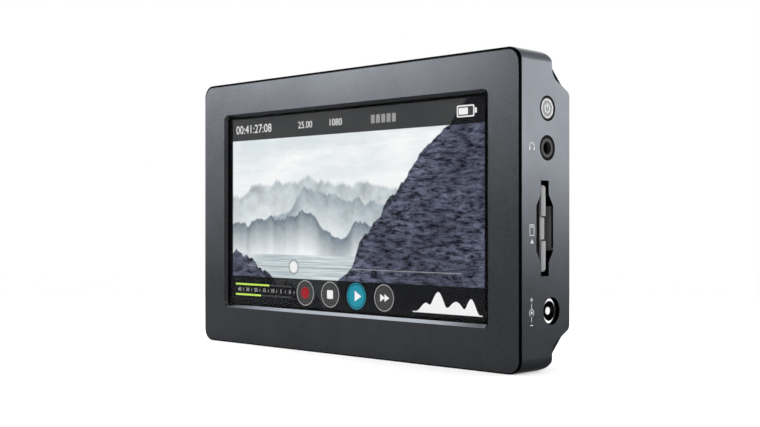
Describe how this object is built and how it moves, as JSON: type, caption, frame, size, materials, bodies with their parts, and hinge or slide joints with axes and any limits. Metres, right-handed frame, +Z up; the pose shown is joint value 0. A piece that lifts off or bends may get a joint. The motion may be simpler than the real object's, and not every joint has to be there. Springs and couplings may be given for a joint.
{
  "type": "recording monitor",
  "caption": "Flat hand-sized recording monitor: bevelled touch screen in a metal bezel, stepped rear housing with battery trays, side card slot, sockets, power button and camera threads.",
  "frame": {"origin": "middle of the box's underside, between front face and rear plane", "axes": "+X to the right as the screen is looked at, +Y away from the viewer through the case, +Z up; the screen looks towards -Y"},
  "size_m": [0.1378, 0.0232, 0.0886],
  "materials": {
    "case_metal": "dark grey satin, bead blasted and anodised",
    "button_metal": "grey satin anodised",
    "screen_glass": "clear, polished, black printed border",
    "black_rubber": "matt black",
    "display_panel": "lit picture panel",
    "white_plastic": "moulded white",
    "sheet_steel": "plated sheet",
    "board_green": "solder mask",
    "insert_steel": "turned stainless",
    "screw_steel": "zinc plated",
    "screw_black": "black coated",
    "chip_black": "moulded epoxy",
    "pad_grey": "soft filled pad",
    "sink_metal": "extruded",
    "flex_amber": "amber film",
    "black_plastic": "moulded, fine texture",
    "fan_plastic": "moulded",
    "tray_plastic": "moulded, fine texture",
    "latch_plastic": "moulded, grey",
    "contact_gold": "gold plated",
    "sleeve_metal": "dark plated sleeve",
    "card_grey": "light grey moulded",
    "chrome_metal": "bright plated"
  },
  "bodies": {
    "monitor_body": {"backlight_unit": "white_plastic", "battery_tray_left": "tray_plastic", "battery_tray_right": "tray_plastic", "bezel_screws": "screw_black", "board_screws": "screw_steel", "board_standoffs": "insert_steel", "button_collar": "black_rubber", "card_slot_liner": "black_plastic", "card_socket": "black_plastic", "card_socket_shell": "sheet_steel", "chassis_screws": "screw_steel", "coax_in_barrel": "contact_gold", "coax_in_core": "white_plastic", "coax_out_barrel": "contact_gold", "coax_out_core": "white_plastic", "contact_blades_left": "contact_gold", "contact_blades_right": "contact_gold", "contact_block_left": "black_plastic", "contact_block_right": "black_plastic", "dc_barrel": "chrome_metal", "dc_pin": "chrome_metal", "dc_socket": "black_plastic", "display_chassis": "sheet_steel", "fan_housing": "black_plastic", "flex_connector": "white_plastic", "front_bezel": "case_metal", "headphone_jack": "black_plastic", "heat_sink": "sink_metal", "jack_sleeve": "sleeve_metal", "latch_spring_left": "screw_steel", "latch_spring_right": "screw_steel", "lcd_flex": "flex_amber", "lcd_panel": "display_panel", "main_board": "board_green", "memory_chips": "chip_black", "power_switch": "chip_black", "processor_chip": "chip_black", "rear_housing": "case_metal", "thermal_pad": "pad_grey", "thread_insert_bottom": "insert_steel", "thread_insert_top": "insert_steel", "touch_glass": "screen_glass", "tray_screws": "screw_steel", "vent_strip_bottom": "black_plastic", "vent_strip_top": "black_plastic", "video_in_core": "black_plastic", "video_in_shell": "sheet_steel", "video_out_core": "black_plastic", "video_out_shell": "sheet_steel", "window_gasket": "black_rubber"},
    "power_button": {"power_button_cap": "button_metal", "switch_plunger": "black_plastic"},
    "memory_card": {"memory_card": "card_grey"},
    "fan_rotor": {"fan_rotor": "fan_plastic"},
    "latch_left": {"battery_latch_left": "latch_plastic"},
    "latch_right": {"battery_latch_right": "latch_plastic"}
  },
  "joints": [
    {"name": "power_button_press", "type": "slide", "parent": "monitor_body", "child": "power_button", "axis": [-1, 0, 0], "range_m": [0, 0.0007], "stiffness_N_per_m": 400, "springref_m": -0.0005},
    {"name": "card_slide", "type": "slide", "parent": "monitor_body", "child": "memory_card", "axis": [1, 0, 0], "range_m": [-0.001, 0.0335]},
    {"name": "fan_spin", "type": "hinge", "parent": "monitor_body", "child": "fan_rotor", "pos_m": [0, 0.0009, 0.06275], "axis": [0, 1, 0], "continuous": true},
    {"name": "latch_left_slide", "type": "slide", "parent": "monitor_body", "child": "latch_left", "axis": [0, 0, -1], "range_m": [0, 0.0016], "stiffness_N_per_m": 200, "springref_m": -0.001, "deforming": ["latch_spring_left"]},
    {"name": "latch_right_slide", "type": "slide", "parent": "monitor_body", "child": "latch_right", "axis": [0, 0, -1], "range_m": [0, 0.0016], "stiffness_N_per_m": 200, "springref_m": -0.001, "deforming": ["latch_spring_right"]}
  ]
}
